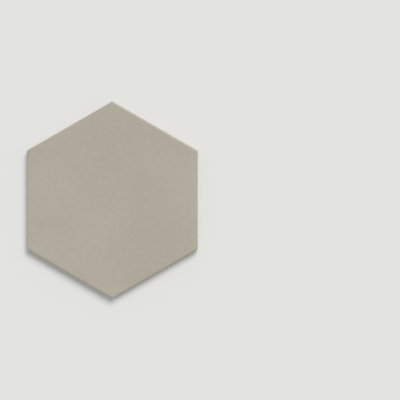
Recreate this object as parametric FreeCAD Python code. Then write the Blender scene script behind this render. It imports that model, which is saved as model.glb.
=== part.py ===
import FreeCAD, Part
import math
import os

# A hexagonal floor tile of glazed stoneware, pressed and fired as one piece.
# It lies with its glazed face up. The origin is in the middle of its back, +Z goes out through
# the glazed face, X runs across two flats and Y through two corners. All sizes are in millimetres.

# Outline and thickness
across_flats = 175.0
thickness = 9.0
corner_radius = 1.2

# Eased edge of the glazed face: how far in from the side it starts, and how far down it ends
ease_width = 1.5
ease_drop = 0.9

# Bevel at the foot of the upright side
foot_bevel_width = 1.2
foot_bevel_height = 2.6

# Keying relief on the back: a honeycomb of shallow pockets inside a plain rim
rim_width = 6.5
pocket_rings = 4
rib_width = 3.0
pocket_depth = 1.0
pocket_draft_degrees = 30.0
pocket_corner_radius = 2.0

# Directions of the hexagons' corners, in degrees from +X
SIXTH = 60.0
TILE_TURN = SIXTH / 2
POCKET_TURN = 0.0
UP = FreeCAD.Vector(0, 0, 1)
CENTRE = FreeCAD.Vector(0, 0, 0)

# A regular hexagon's corners are this much farther from its middle than its flats are
CORNER_REACH = 1 / math.cos(math.radians(SIXTH / 2))

half_width = across_flats / 2
across_corners = across_flats * CORNER_REACH
land_top = thickness - ease_drop

# The outermost pockets are centred on the inner edge of the rim, which cuts them off
field_half_width = half_width - foot_bevel_width - rim_width
pocket_pitch = field_half_width * CORNER_REACH / pocket_rings
pocket_half_width = (pocket_pitch - rib_width) / 2
pocket_inset = pocket_depth * math.tan(math.radians(pocket_draft_degrees))


def polar(distance, angle):
    """A point on the back, at an angle in degrees from +X."""
    radians = math.radians(angle)
    return FreeCAD.Vector(distance * math.cos(radians), distance * math.sin(radians), 0)


def hexagon(centre, half_flats, turn):
    """A flat regular hexagon with its first corner at the angle turn."""
    corners = [centre + polar(half_flats * CORNER_REACH, turn + side * SIXTH) for side in range(7)]
    return Part.Face(Part.makePolygon(corners))


def rounded(face, radius):
    """The same flat face with its corners rounded."""
    return face.makeOffset2D(-radius).makeOffset2D(radius)


def edge_profile():
    """The section's edges down one side: the eased edge, the upright land and the foot bevel."""
    roll = 2 * math.atan2(ease_drop, ease_width)
    ease_radius = ease_width / math.sin(roll)
    ease_start = FreeCAD.Vector(half_width - ease_width, 0, thickness)
    halfway = FreeCAD.Vector(math.sin(roll / 2), 0, math.cos(roll / 2) - 1)
    ease_middle = ease_start + halfway * ease_radius
    ease_end = FreeCAD.Vector(half_width, 0, land_top)
    land_end = FreeCAD.Vector(half_width, 0, foot_bevel_height)
    bevel_end = FreeCAD.Vector(half_width - foot_bevel_width, 0, 0)
    return [
        Part.Arc(ease_start, ease_middle, ease_end).toShape(),
        Part.makeLine(ease_end, land_end),
        Part.makeLine(land_end, bevel_end),
    ]


def section_bar():
    """A bar with the tile's section across two flats, as long as the tile is from corner to corner."""
    right = edge_profile()
    left = [edge.mirror(CENTRE, FreeCAD.Vector(1, 0, 0)) for edge in right]
    face = Part.makeLine(left[0].Vertexes[0].Point, right[0].Vertexes[0].Point)
    back = Part.makeLine(left[-1].Vertexes[-1].Point, right[-1].Vertexes[-1].Point)
    outline = Part.Wire(Part.__sortEdges__(right + left + [face, back]))
    bar = Part.Face(outline).extrude(FreeCAD.Vector(0, across_corners, 0))
    bar.translate(FreeCAD.Vector(0, -across_corners / 2, 0))
    return bar


def blank():
    """The tile before its relief: what three such bars, a sixth of a turn apart, have in common."""
    plan = rounded(hexagon(CENTRE, half_width, TILE_TURN), corner_radius)
    body = plan.extrude(UP * thickness)
    for turn in range(3):
        bar = section_bar()
        bar.rotate(CENTRE, UP, turn * SIXTH)
        body = body.common(bar)
    return body


def pocket_outline(centre, inset):
    """One cell of the honeycomb, cut off at the rim, with every side moved in by inset."""
    cell = hexagon(centre, pocket_half_width - inset, POCKET_TURN)
    field = hexagon(CENTRE, field_half_width - inset, TILE_TURN)
    return rounded(cell.common(field).Faces[0], pocket_corner_radius - inset).OuterWire


def pocket(centre):
    """The space of one pocket, narrower at its floor so that the tile leaves the press."""
    mouth = pocket_outline(centre, 0)
    floor = pocket_outline(centre, pocket_inset)
    floor.translate(UP * pocket_depth)
    return Part.makeLoft([mouth, floor], True, True)


def pocket_centres():
    """The middles of the honeycomb's cells, ring by ring from the middle of the back."""
    centres = [CENTRE]
    for ring in range(1, pocket_rings + 1):
        for side in range(6):
            corner = polar(ring * pocket_pitch, TILE_TURN + side * SIXTH)
            step = polar(pocket_pitch, TILE_TURN + (side + 2) * SIXTH)
            centres += [corner + step * count for count in range(ring)]
    return centres


def hexagon_tile():
    """The whole tile, with the honeycomb pressed into its back."""
    pockets = Part.makeCompound([pocket(centre) for centre in pocket_centres()])
    return blank().cut(pockets).Solids[0]


os.makedirs("parts", exist_ok=True)
hexagon_tile().exportStep("parts/hexagon_tile.step")
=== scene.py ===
import math

import bmesh
import bpy
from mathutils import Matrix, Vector, noise


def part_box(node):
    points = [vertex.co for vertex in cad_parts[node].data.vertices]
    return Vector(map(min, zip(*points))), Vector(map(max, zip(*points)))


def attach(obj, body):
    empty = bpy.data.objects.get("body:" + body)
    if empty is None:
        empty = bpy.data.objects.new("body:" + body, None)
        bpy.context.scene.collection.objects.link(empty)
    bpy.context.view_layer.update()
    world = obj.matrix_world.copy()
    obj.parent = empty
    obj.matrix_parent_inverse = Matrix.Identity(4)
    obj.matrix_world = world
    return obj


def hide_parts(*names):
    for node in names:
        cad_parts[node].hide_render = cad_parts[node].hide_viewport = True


# A glazed hexagonal floor tile, lying face up. All lengths are in metres.
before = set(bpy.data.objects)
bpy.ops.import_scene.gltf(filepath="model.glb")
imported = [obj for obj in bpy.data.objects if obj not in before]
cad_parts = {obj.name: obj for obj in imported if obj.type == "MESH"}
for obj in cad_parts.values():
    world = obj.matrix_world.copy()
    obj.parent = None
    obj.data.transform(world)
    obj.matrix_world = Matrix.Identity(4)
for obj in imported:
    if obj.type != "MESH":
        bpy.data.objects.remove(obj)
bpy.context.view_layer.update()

MM = 0.001
NODE = "hexagon_tile"
highest_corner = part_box(NODE)[1]

# Outline and edges, as in the solid, but the eased edge falls a little further to round off its arris
HALF_WIDTH = highest_corner.x
THICKNESS = highest_corner.z
CORNER_RADIUS = 1.2 * MM
EASE_WIDTH = 1.5 * MM
EASE_FALL = 1.25 * MM
FOOT_BEVEL_WIDTH = 1.2 * MM
FOOT_BEVEL_HEIGHT = 2.6 * MM

# Relief on the back, as in the solid
RIM_WIDTH = 6.5 * MM
POCKET_RINGS = 4
RIB_WIDTH = 3.0 * MM
POCKET_DEPTH = 1.0 * MM
POCKET_DRAFT = math.radians(30)
POCKET_CORNER_RADIUS = 2.0 * MM

# Rounding of the pressed edges, which the solid leaves sharp
FOOT_ROUNDING = 0.5 * MM
MOUTH_ROUNDING = 0.35 * MM
FLOOR_ROUNDING = 0.5 * MM

# How far beyond either end of a rounding the flat beside it begins, so that it is shaded as a flat
FLAT_MARGIN = 0.15 * MM

# Unevenness from pressing and firing: how deep it goes, and how far its waves are apart
FACE_WAVE_DEPTH = 0.05 * MM
FACE_WAVE_LENGTH = 45 * MM
SIDE_WAVE_DEPTH = 0.07 * MM
SIDE_WAVE_LENGTH = 7 * MM

# The face falls off a little beside its eased edge, as the glaze draws back from it
PILLOW_DEPTH = 0.10 * MM
PILLOW_WIDTH = 7 * MM

# The face's unevenness fades down the side with this power of the height
FACE_POWER = 4

# How finely the mesh is divided
FACE_RINGS = 60
SIDE_STEPS = 60
CORNER_STEPS = 6
EASE_STEPS = 8
ROUNDING_STEPS = 4
LAND_STEPS = 6
POCKET_CORNER_STEPS = 5

# Directions of the hexagons' corners, and sizes that follow from the values above
SIXTH = math.radians(60)
TILE_TURN = SIXTH / 2
POCKET_TURN = 0
CORNER_REACH = 1 / math.cos(SIXTH / 2)
MIDDLE = Vector((0, 0))
FIELD_HALF_WIDTH = HALF_WIDTH - FOOT_BEVEL_WIDTH - RIM_WIDTH
POCKET_PITCH = FIELD_HALF_WIDTH * CORNER_REACH / POCKET_RINGS
POCKET_HALF_WIDTH = (POCKET_PITCH - RIB_WIDTH) / 2

# Colours as light is reflected, from 0 to 1
GLAZE_COLOUR = (0.428, 0.393, 0.322, 1)
THIN_GLAZE_COLOUR = (0.54, 0.50, 0.42, 1)
BODY_COLOUR = (0.57, 0.52, 0.43, 1)
WASH_COLOUR = (0.70, 0.68, 0.63, 1)
FLOOR_COLOUR = (0.80, 0.80, 0.79, 1)

# Noise lies mostly between these two values
NOISE_LOW = 0.28
NOISE_HIGH = 0.72

# Glaze: the size of each pattern, and how much tone or height it gives
CLOUD_SIZE = 75 * MM
CLOUD_TONE = 0.038
CLOUD_SEED = 42.5
MOTTLE_SIZE = 5 * MM
MOTTLE_TONE = 0.042
MOTTLE_ROUGHNESS = 0.8
SHEEN_SIZE = 6 * MM
GLAZE_ROUGHNESS_LOW = 0.34
GLAZE_ROUGHNESS_HIGH = 0.40
RIPPLE_SIZE = 2.2 * MM
RIPPLE_HEIGHT = 0.012 * MM
SKIN_SIZE = 0.9 * MM
SKIN_HEIGHT = 0.002 * MM
LIP_HEIGHT = 0.08 * MM

# Where the glaze thins out over the edge, and where it ends on the side, in depths below the face
THIN_GLAZE_TOP = 0.25 * MM
THIN_GLAZE_MIDDLE = 1.3 * MM
THIN_GLAZE_FOOT = 2.4 * MM
THIN_GLAZE_SHARE = 0.45
GLAZE_END = 2.3 * MM
GLAZE_END_SOFTNESS = 0.12 * MM

# How far the glaze's end wanders up and down: in long waves, and in short ones on them
WANDER_SIZE = 9 * MM
WANDER_HEIGHT = 1.1 * MM
SHORT_WANDER_SIZE = 0.9 * MM
SHORT_WANDER_HEIGHT = 0.37 * MM

# Mist of glaze on the body below that, and the values of its noise where droplets start and are full
MIST_SIZE = 0.4 * MM
MIST_REACH = 3.0 * MM
MIST_SHARE = 0.6
DROPLETS_START = 0.40
DROPLETS_FULL = 0.62

# Bare body: the grain of its pressed powder, faint patches, and drag marks of the press on its sides
POWDER_SIZE = 0.35 * MM
POWDER_TONE = 0.10
POWDER_HEIGHT = 0.05 * MM
PATCH_SIZE = 14 * MM
PATCH_TONE = 0.03
DRAG_SIZE = 0.7 * MM
DRAG_STRETCH = 12
DRAG_TONE = 0.04
DRAG_HEIGHT = 0.03 * MM
BODY_ROUGHNESS = 0.82

# Kiln wash, brushed thinly on the ribs of the back and no higher than this
WASH_SIZE = 5 * MM
WASH_SHARE = 0.5
WASH_REACH = 0.3 * MM

# Light: half of it from all round, half from a broad lamp beyond the picture's top and a little right
AMBIENT_LIGHT = 0.48
KEY_LIGHT = 0.48
KEY_HEIGHT = math.radians(50)
KEY_AZIMUTH = math.radians(68)
KEY_SPREAD = math.radians(35)

# Side of the floor, wide enough that its edge doesn't show in a low view
FLOOR_SIDE = 400

# The picture: the tile's place and width in it, in pixels from its upper left corner
PICTURE_SIDE_PX = 400
TILE_CENTRE_PX = Vector((112.26, 199.86))
TILE_WIDTH_PX = 171.0
LENS_MM = 135
SENSOR_MM = 36


def polar(distance, angle):
    """A flat point at an angle from +X."""
    return Vector((distance * math.cos(angle), distance * math.sin(angle)))


def hexagon(centre, half_flats, turn):
    """The corners of a regular hexagon, the first one at the angle turn."""
    return [centre + polar(half_flats * CORNER_REACH, turn + side * SIXTH) for side in range(6)]


def between(start, end, steps):
    """The points that divide a straight stretch, without its two ends."""
    return [start.lerp(end, step / steps) for step in range(1, steps)]


def divided(corners, steps):
    """A closed outline with every side divided into equal steps."""
    outline = []
    for index, corner in enumerate(corners):
        outline += [corner] + between(corner, corners[(index + 1) % len(corners)], steps)
    return outline


def fillet(before, corner, after, radius, steps):
    """The points of the arc that rounds off one corner of a flat line."""
    back = (before - corner).normalized()
    ahead = (after - corner).normalized()
    half_angle = back.angle(ahead) / 2
    centre = corner + (back + ahead).normalized() * (radius / math.sin(half_angle))
    start = corner + back * (radius / math.tan(half_angle)) - centre
    end = corner + ahead * (radius / math.tan(half_angle)) - centre
    # slerp gives directions, each of length 1
    return [centre + radius * start.slerp(end, step / steps) for step in range(steps + 1)]


def pressed_edge(before, corner, after, radius):
    """A section's rounding at one edge, with the flats beside it beginning a margin beyond it."""
    arc = fillet(before, corner, after, radius, ROUNDING_STEPS)
    lead_in = arc[0] + (before - corner).normalized() * FLAT_MARGIN
    lead_out = arc[-1] + (after - corner).normalized() * FLAT_MARGIN
    return [lead_in] + arc + [lead_out]


def rounded(corners, radius, corner_steps, side_steps):
    """A closed outline with rounded corners, and its straight stretches divided into equal steps."""
    arcs = []
    for index, corner in enumerate(corners):
        after = corners[(index + 1) % len(corners)]
        arcs.append(fillet(corners[index - 1], corner, after, radius, corner_steps))
    outline = []
    for index, arc in enumerate(arcs):
        outline += arc + between(arc[-1], arcs[(index + 1) % len(arcs)][0], side_steps)
    return outline


def inside_field(corners, half_flats):
    """The part of a convex outline that lies in the hexagonal field of the relief."""
    # Each of the field's six sides in turn cuts off what lies beyond it
    for side in range(6):
        normal = polar(1, side * SIXTH)
        kept = []
        for index, corner in enumerate(corners):
            before = corners[index - 1]
            room = half_flats - corner.dot(normal)
            room_before = half_flats - before.dot(normal)
            if room * room_before < 0:
                kept.append(before.lerp(corner, room_before / (room_before - room)))
            if room >= 0:
                kept.append(corner)
        corners = kept
    return corners


def add_loop(mesh, outline, height):
    """A closed loop of vertices at one height."""
    return [mesh.verts.new((point.x, point.y, height)) for point in outline]


def join_matching(mesh, outer, inner):
    """Faces between two loops with the same points at different insets."""
    for index in range(len(outer)):
        mesh.faces.new((outer[index - 1], outer[index], inner[index], inner[index - 1]))


def join_around(mesh, outer, inner):
    """Triangles between two loops of any kind round the middle."""
    # It goes round both loops at once, and steps on along the one whose next vertex comes first

    def bearing(vertex):
        return math.atan2(vertex.co.y, vertex.co.x)

    outer = sorted(outer, key=bearing)
    inner = sorted(inner, key=bearing)
    outer_bearings = [bearing(vertex) for vertex in outer[1:] + outer[:1]]
    inner_bearings = [bearing(vertex) for vertex in inner[1:] + inner[:1]]
    outer_bearings[-1] += math.tau
    inner_bearings[-1] += math.tau
    at_outer = at_inner = 0
    while at_outer < len(outer) or at_inner < len(inner):
        here = (outer[at_outer % len(outer)], inner[at_inner % len(inner)])
        outer_first = at_inner == len(inner) or (
            at_outer < len(outer) and outer_bearings[at_outer] <= inner_bearings[at_inner]
        )
        if outer_first:
            at_outer += 1
            mesh.faces.new((*here, outer[at_outer % len(outer)]))
        else:
            at_inner += 1
            mesh.faces.new((*here, inner[at_inner % len(inner)]))


def cell_centres():
    """The middles of the honeycomb's cells, ring by ring from the middle of the back."""
    centres = [MIDDLE]
    for ring in range(1, POCKET_RINGS + 1):
        for side in range(6):
            corner = polar(ring * POCKET_PITCH, TILE_TURN + side * SIXTH)
            step = polar(POCKET_PITCH, TILE_TURN + (side + 2) * SIXTH)
            centres += [corner + step * count for count in range(ring)]
    return centres


def pocket_wall():
    """The section of a pocket's wall: how far each point lies outside the mouth, and its height."""
    mouth = Vector((0, 0))
    foot = Vector((-POCKET_DEPTH * math.tan(POCKET_DRAFT), POCKET_DEPTH))
    # Points on the flats of the rib and of the pocket's floor, which the wall runs between
    rib = mouth + Vector((RIB_WIDTH, 0))
    floor = foot - Vector((RIB_WIDTH, 0))
    mouth_edge = pressed_edge(rib, mouth, foot, MOUTH_ROUNDING)
    return mouth_edge + pressed_edge(mouth, foot, floor, FLOOR_ROUNDING)


def add_pocket(mesh, centre, wall):
    """The wall and floor of one pocket of the honeycomb, cut off at the rim."""
    loops = []
    for outside, height in wall:
        cell = hexagon(centre, POCKET_HALF_WIDTH + outside, POCKET_TURN)
        outline = inside_field(cell, FIELD_HALF_WIDTH + outside)
        outline = rounded(outline, POCKET_CORNER_RADIUS + outside, POCKET_CORNER_STEPS, 1)
        loops.append(add_loop(mesh, outline, height))
    for outer, inner in zip(loops, loops[1:]):
        join_matching(mesh, outer, inner)
    mesh.faces.new(loops[-1])


def side_section():
    """The section of the tile's side, from the rim of the back up to the face: inset and height."""
    rim = Vector((FOOT_BEVEL_WIDTH + RIM_WIDTH, 0))
    foot = Vector((FOOT_BEVEL_WIDTH, 0))
    land_foot = Vector((0, FOOT_BEVEL_HEIGHT))
    land_top = Vector((0, THICKNESS - EASE_FALL))
    section = pressed_edge(rim, foot, land_foot, FOOT_ROUNDING)
    section += pressed_edge(foot, land_foot, land_top, FOOT_ROUNDING)
    section += between(section[-1], land_top, LAND_STEPS)
    for step in range(EASE_STEPS + 1):
        roll = math.pi / 2 * step / EASE_STEPS
        inset = EASE_WIDTH * (1 - math.cos(roll))
        height = THICKNESS - EASE_FALL * (1 - math.sin(roll))
        section.append(Vector((inset, height)))
    return section


def add_side(mesh):
    """The tile's side all round, up to the loop where the flat of the face begins."""
    loops = []
    for inset, height in side_section():
        outline = hexagon(MIDDLE, HALF_WIDTH - inset, TILE_TURN)
        loops.append(add_loop(mesh, rounded(outline, CORNER_RADIUS, CORNER_STEPS, SIDE_STEPS), height))
    for lower, higher in zip(loops, loops[1:]):
        join_matching(mesh, lower, higher)
    return loops[-1]


def add_face(mesh, border):
    """The flat of the glazed face, in rings of even triangles inside its border."""
    spacing = (HALF_WIDTH - EASE_WIDTH) / FACE_RINGS
    loop = border
    for count in range(FACE_RINGS - 1, 0, -1):
        ring = add_loop(mesh, divided(hexagon(MIDDLE, spacing * count, TILE_TURN), count), THICKNESS)
        join_around(mesh, loop, ring)
        loop = ring
    mesh.faces.new(loop)


def wave(point, length):
    """Smooth unevenness from 0 to 1, with waves of about this length."""
    return 0.5 + 0.5 * noise.noise(Vector(point) / length)


def pillow(insets):
    """How far the face has fallen off at a point, from the point's distance to each of the six sides."""
    shares = [max(0, 1 - (inset - EASE_WIDTH) / PILLOW_WIDTH) ** 2 for inset in insets]
    return PILLOW_DEPTH * sum(shares)


def make_uneven(mesh):
    """Moves the surface in by up to three tenths of a millimetre, as pressing and firing leave it."""
    normals = [polar(1, side * SIXTH).to_3d() for side in range(6)]
    for vertex in mesh.verts:
        flat = Vector((vertex.co.x, vertex.co.y, 0))
        insets = [HALF_WIDTH - flat.dot(normal) for normal in normals]
        on_side = max(0, 1 - min(insets) / EASE_WIDTH)
        on_face = (vertex.co.z / THICKNESS) ** FACE_POWER
        vertex.co -= flat.normalized() * SIDE_WAVE_DEPTH * on_side * wave(vertex.co, SIDE_WAVE_LENGTH)
        vertex.co.z -= on_face * (FACE_WAVE_DEPTH * wave(flat, FACE_WAVE_LENGTH) + pillow(insets))


def tile_mesh():
    """The whole tile as one closed mesh, with its pressed edges rounded."""
    mesh = bmesh.new()
    wall = pocket_wall()
    for centre in cell_centres():
        add_pocket(mesh, centre, wall)
    add_face(mesh, add_side(mesh))
    back_edges = [edge for edge in mesh.edges if edge.is_boundary]
    bmesh.ops.triangle_fill(mesh, edges=back_edges, use_beauty=True)
    make_uneven(mesh)
    bmesh.ops.recalc_face_normals(mesh, faces=mesh.faces)
    return mesh


def add_tile(material):
    """The tile as a piece that stands for the solid."""
    mesh = tile_mesh()
    data = bpy.data.meshes.new("glazed_tile")
    mesh.to_mesh(data)
    mesh.free()
    data.shade_smooth()
    data.materials.append(material)
    tile = bpy.data.objects.new("glazed_tile", data)
    bpy.context.scene.collection.objects.link(tile)
    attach(tile, "root")
    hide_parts(NODE)


def add_node(tree, kind, inputs=None, **settings):
    """A shader node, with its inputs given as values or as other nodes' outputs."""
    made = tree.nodes.new(kind)
    for name, value in settings.items():
        setattr(made, name, value)
    for name, value in (inputs or {}).items():
        if isinstance(value, bpy.types.NodeSocket):
            tree.links.new(value, made.inputs[name])
        else:
            made.inputs[name].default_value = value
    return made


def calculate(tree, operation, *values):
    """The result of one operation on numbers."""
    made = add_node(tree, "ShaderNodeMath", dict(enumerate(values)), operation=operation)
    return made.outputs["Value"]


def grain(tree, place, size, detail=2, roughness=0.5, seed=0):
    """Cloudy noise from 0 to 1, with features of about this size and finer ones on them."""
    inputs = {"Vector": place, "W": seed, "Scale": 1 / size, "Detail": detail, "Roughness": roughness}
    return add_node(tree, "ShaderNodeTexNoise", inputs, noise_dimensions="4D").outputs["Fac"]


def remap(tree, value, low, high, to_low=0, to_high=1):
    """A value that goes smoothly from to_low to to_high as the given one goes from low to high."""
    inputs = {"Value": value, "From Min": low, "From Max": high, "To Min": to_low, "To Max": to_high}
    made = add_node(tree, "ShaderNodeMapRange", inputs, interpolation_type="SMOOTHSTEP", clamp=True)
    return made.outputs["Result"]


# A mix node has sockets of the same names for each kind of value, so they are told apart by number
def mix_numbers(tree, share, first, second):
    """Goes from the first number to the second as share goes from 0 to 1."""
    inputs = {0: share, 2: first, 3: second}
    return add_node(tree, "ShaderNodeMix", inputs, data_type="FLOAT").outputs[0]


def mix_colours(tree, share, first, second):
    """Goes from the first colour to the second as share goes from 0 to 1."""
    inputs = {0: share, 6: first, 7: second}
    return add_node(tree, "ShaderNodeMix", inputs, data_type="RGBA").outputs[2]


def toned(tree, colour, value, spread):
    """A colour made darker by the share spread where the noise is low, and lighter where it is high."""
    factor = remap(tree, value, NOISE_LOW, NOISE_HIGH, 1 - spread, 1 + spread)
    return add_node(tree, "ShaderNodeHueSaturation", {"Color": colour, "Value": factor}).outputs["Color"]


def height_over_glaze_end(tree, place, height):
    """How far a point lies above the wandering line where the glaze ends."""
    mean_wander = (WANDER_HEIGHT + SHORT_WANDER_HEIGHT) / 2
    above_end = calculate(tree, "SUBTRACT", height, THICKNESS - GLAZE_END + mean_wander)
    long_waves = grain(tree, place, WANDER_SIZE, detail=3)
    above_end = calculate(tree, "MULTIPLY_ADD", long_waves, WANDER_HEIGHT, above_end)
    short_waves = grain(tree, place, SHORT_WANDER_SIZE)
    return calculate(tree, "MULTIPLY_ADD", short_waves, SHORT_WANDER_HEIGHT, above_end)


def glaze_colour(tree, place, height):
    """Broad faint clouds, a finer mottle, and a lighter line where the glaze thins over the edge."""
    clouds = grain(tree, place, CLOUD_SIZE, detail=1, seed=CLOUD_SEED)
    mottle = grain(tree, place, MOTTLE_SIZE, detail=4, roughness=MOTTLE_ROUGHNESS)
    glaze = toned(tree, GLAZE_COLOUR, clouds, CLOUD_TONE)
    glaze = toned(tree, glaze, mottle, MOTTLE_TONE)
    below_top = remap(tree, height, THICKNESS - THIN_GLAZE_TOP, THICKNESS - THIN_GLAZE_MIDDLE)
    above_foot = remap(tree, height, THICKNESS - THIN_GLAZE_FOOT, THICKNESS - THIN_GLAZE_MIDDLE)
    thinness = calculate(tree, "MULTIPLY", below_top, above_foot)
    thin_share = calculate(tree, "MULTIPLY", thinness, THIN_GLAZE_SHARE)
    return mix_colours(tree, thin_share, glaze, THIN_GLAZE_COLOUR)


def body_colour(tree, place, height, above_end, powder, drag):
    """Pressed powder in faint patches, with a mist of glaze below its end and wash on the ribs."""
    body = toned(tree, BODY_COLOUR, powder, POWDER_TONE)
    body = toned(tree, body, grain(tree, place, PATCH_SIZE, detail=3), PATCH_TONE)
    body = toned(tree, body, drag, DRAG_TONE)
    droplets = remap(tree, grain(tree, place, MIST_SIZE), DROPLETS_START, DROPLETS_FULL)
    near_end = remap(tree, above_end, -MIST_REACH, 0, 0, MIST_SHARE)
    body = mix_colours(tree, calculate(tree, "MULTIPLY", near_end, droplets), body, GLAZE_COLOUR)
    brushed = remap(tree, grain(tree, place, WASH_SIZE, detail=4), NOISE_LOW, NOISE_HIGH, 0, WASH_SHARE)
    on_ribs = remap(tree, height, WASH_REACH, 0)
    return mix_colours(tree, calculate(tree, "MULTIPLY", on_ribs, brushed), body, WASH_COLOUR)


def glaze_relief(tree, place):
    """The height of the glaze over the body: its lip, the ripples it dried with and its fine skin."""
    ripples = calculate(tree, "MULTIPLY_ADD", grain(tree, place, RIPPLE_SIZE), RIPPLE_HEIGHT, LIP_HEIGHT)
    skin = grain(tree, place, SKIN_SIZE, detail=3)
    return calculate(tree, "MULTIPLY_ADD", skin, SKIN_HEIGHT, ripples)


def body_relief(tree, powder, drag):
    """The height of the bare body's grain and of the drag marks on its sides."""
    grains = calculate(tree, "MULTIPLY", powder, POWDER_HEIGHT)
    return calculate(tree, "MULTIPLY_ADD", drag, DRAG_HEIGHT, grains)


def stoneware_material():
    """Satin glaze on the face and upper side, bare pressed body below it and on the back."""
    material = bpy.data.materials.new("glazed_stoneware")
    material.use_nodes = True
    tree = material.node_tree
    shader = tree.nodes["Principled BSDF"]
    place = add_node(tree, "ShaderNodeTexCoord").outputs["Object"]
    height = add_node(tree, "ShaderNodeSeparateXYZ", {"Vector": place}).outputs["Z"]
    above_end = height_over_glaze_end(tree, place, height)
    glazed = remap(tree, above_end, -GLAZE_END_SOFTNESS, GLAZE_END_SOFTNESS)

    powder = grain(tree, place, POWDER_SIZE, detail=4)
    upright = {0: place, 1: (1, 1, 1 / DRAG_STRETCH)}
    stretched = add_node(tree, "ShaderNodeVectorMath", upright, operation="MULTIPLY").outputs["Vector"]
    drag = grain(tree, stretched, DRAG_SIZE)
    body = body_colour(tree, place, height, above_end, powder, drag)
    colour = mix_colours(tree, glazed, body, glaze_colour(tree, place, height))
    tree.links.new(colour, shader.inputs["Base Color"])

    sheen = grain(tree, place, SHEEN_SIZE, detail=3)
    satin = remap(tree, sheen, NOISE_LOW, NOISE_HIGH, GLAZE_ROUGHNESS_LOW, GLAZE_ROUGHNESS_HIGH)
    tree.links.new(mix_numbers(tree, glazed, BODY_ROUGHNESS, satin), shader.inputs["Roughness"])

    relief = mix_numbers(tree, glazed, body_relief(tree, powder, drag), glaze_relief(tree, place))
    # A distance and strength of 1 leave the relief its real height
    bump = add_node(tree, "ShaderNodeBump", {"Height": relief, "Distance": 1.0, "Strength": 1.0})
    tree.links.new(bump.outputs["Normal"], shader.inputs["Normal"])
    return material


def add_floor():
    """A plain pale floor that takes the tile's shadow."""
    bpy.ops.mesh.primitive_plane_add(size=FLOOR_SIDE)
    floor = bpy.context.object
    floor.name = "floor"
    material = bpy.data.materials.new("floor")
    material.use_nodes = True
    shader = material.node_tree.nodes["Principled BSDF"]
    shader.inputs["Base Color"].default_value = FLOOR_COLOUR
    shader.inputs["Roughness"].default_value = 1.0
    shader.inputs["Specular IOR Level"].default_value = 0.0
    floor.data.materials.append(material)


def add_light():
    """Even light from all round, and a broad soft lamp."""
    world = bpy.data.worlds.new("studio")
    bpy.context.scene.world = world
    world.use_nodes = True
    tree = world.node_tree
    tree.nodes.clear()
    even_light = {"Color": (1, 1, 1, 1), "Strength": AMBIENT_LIGHT}
    ambient = add_node(tree, "ShaderNodeBackground", even_light)
    # The backdrop is as bright as the lit floor, so that it goes on where the floor ends
    lit_floor = {"Color": FLOOR_COLOUR, "Strength": AMBIENT_LIGHT + KEY_LIGHT}
    backdrop = add_node(tree, "ShaderNodeBackground", lit_floor)
    path = add_node(tree, "ShaderNodeLightPath")
    seen = calculate(tree, "MAXIMUM", path.outputs["Is Camera Ray"], path.outputs["Is Glossy Ray"])
    seen = calculate(tree, "MAXIMUM", seen, path.outputs["Is Transmission Ray"])
    either = {0: seen, 1: ambient.outputs["Background"], 2: backdrop.outputs["Background"]}
    world_shader = add_node(tree, "ShaderNodeMixShader", either)
    add_node(tree, "ShaderNodeOutputWorld", {"Surface": world_shader.outputs["Shader"]})

    # The lamp is strong enough to give a level white surface the tone KEY_LIGHT by itself
    key = bpy.data.objects.new("key_light", bpy.data.lights.new("key_light", "SUN"))
    key.data.energy = KEY_LIGHT * math.pi / math.sin(KEY_HEIGHT)
    key.data.angle = KEY_SPREAD
    level = polar(math.cos(KEY_HEIGHT), KEY_AZIMUTH)
    towards = Vector((level.x, level.y, math.sin(KEY_HEIGHT)))
    key.rotation_euler = towards.to_track_quat("Z", "Y").to_euler()
    bpy.context.scene.collection.objects.link(key)


def add_camera():
    """Looks straight down, with the tile in its place in the picture."""
    scale = 2 * HALF_WIDTH / TILE_WIDTH_PX
    middle = Vector((PICTURE_SIDE_PX / 2, PICTURE_SIDE_PX / 2))
    aside = (middle - TILE_CENTRE_PX) * scale
    above = PICTURE_SIDE_PX * scale * LENS_MM / SENSOR_MM
    camera = bpy.data.objects.new("camera", bpy.data.cameras.new("camera"))
    camera.data.lens = LENS_MM
    camera.data.sensor_width = SENSOR_MM
    camera.location = (aside.x, -aside.y, THICKNESS + above)
    bpy.context.scene.collection.objects.link(camera)
    bpy.context.scene.camera = camera


add_camera()
add_light()
add_floor()
add_tile(stoneware_material())
bpy.context.scene.view_settings.view_transform = "Standard"
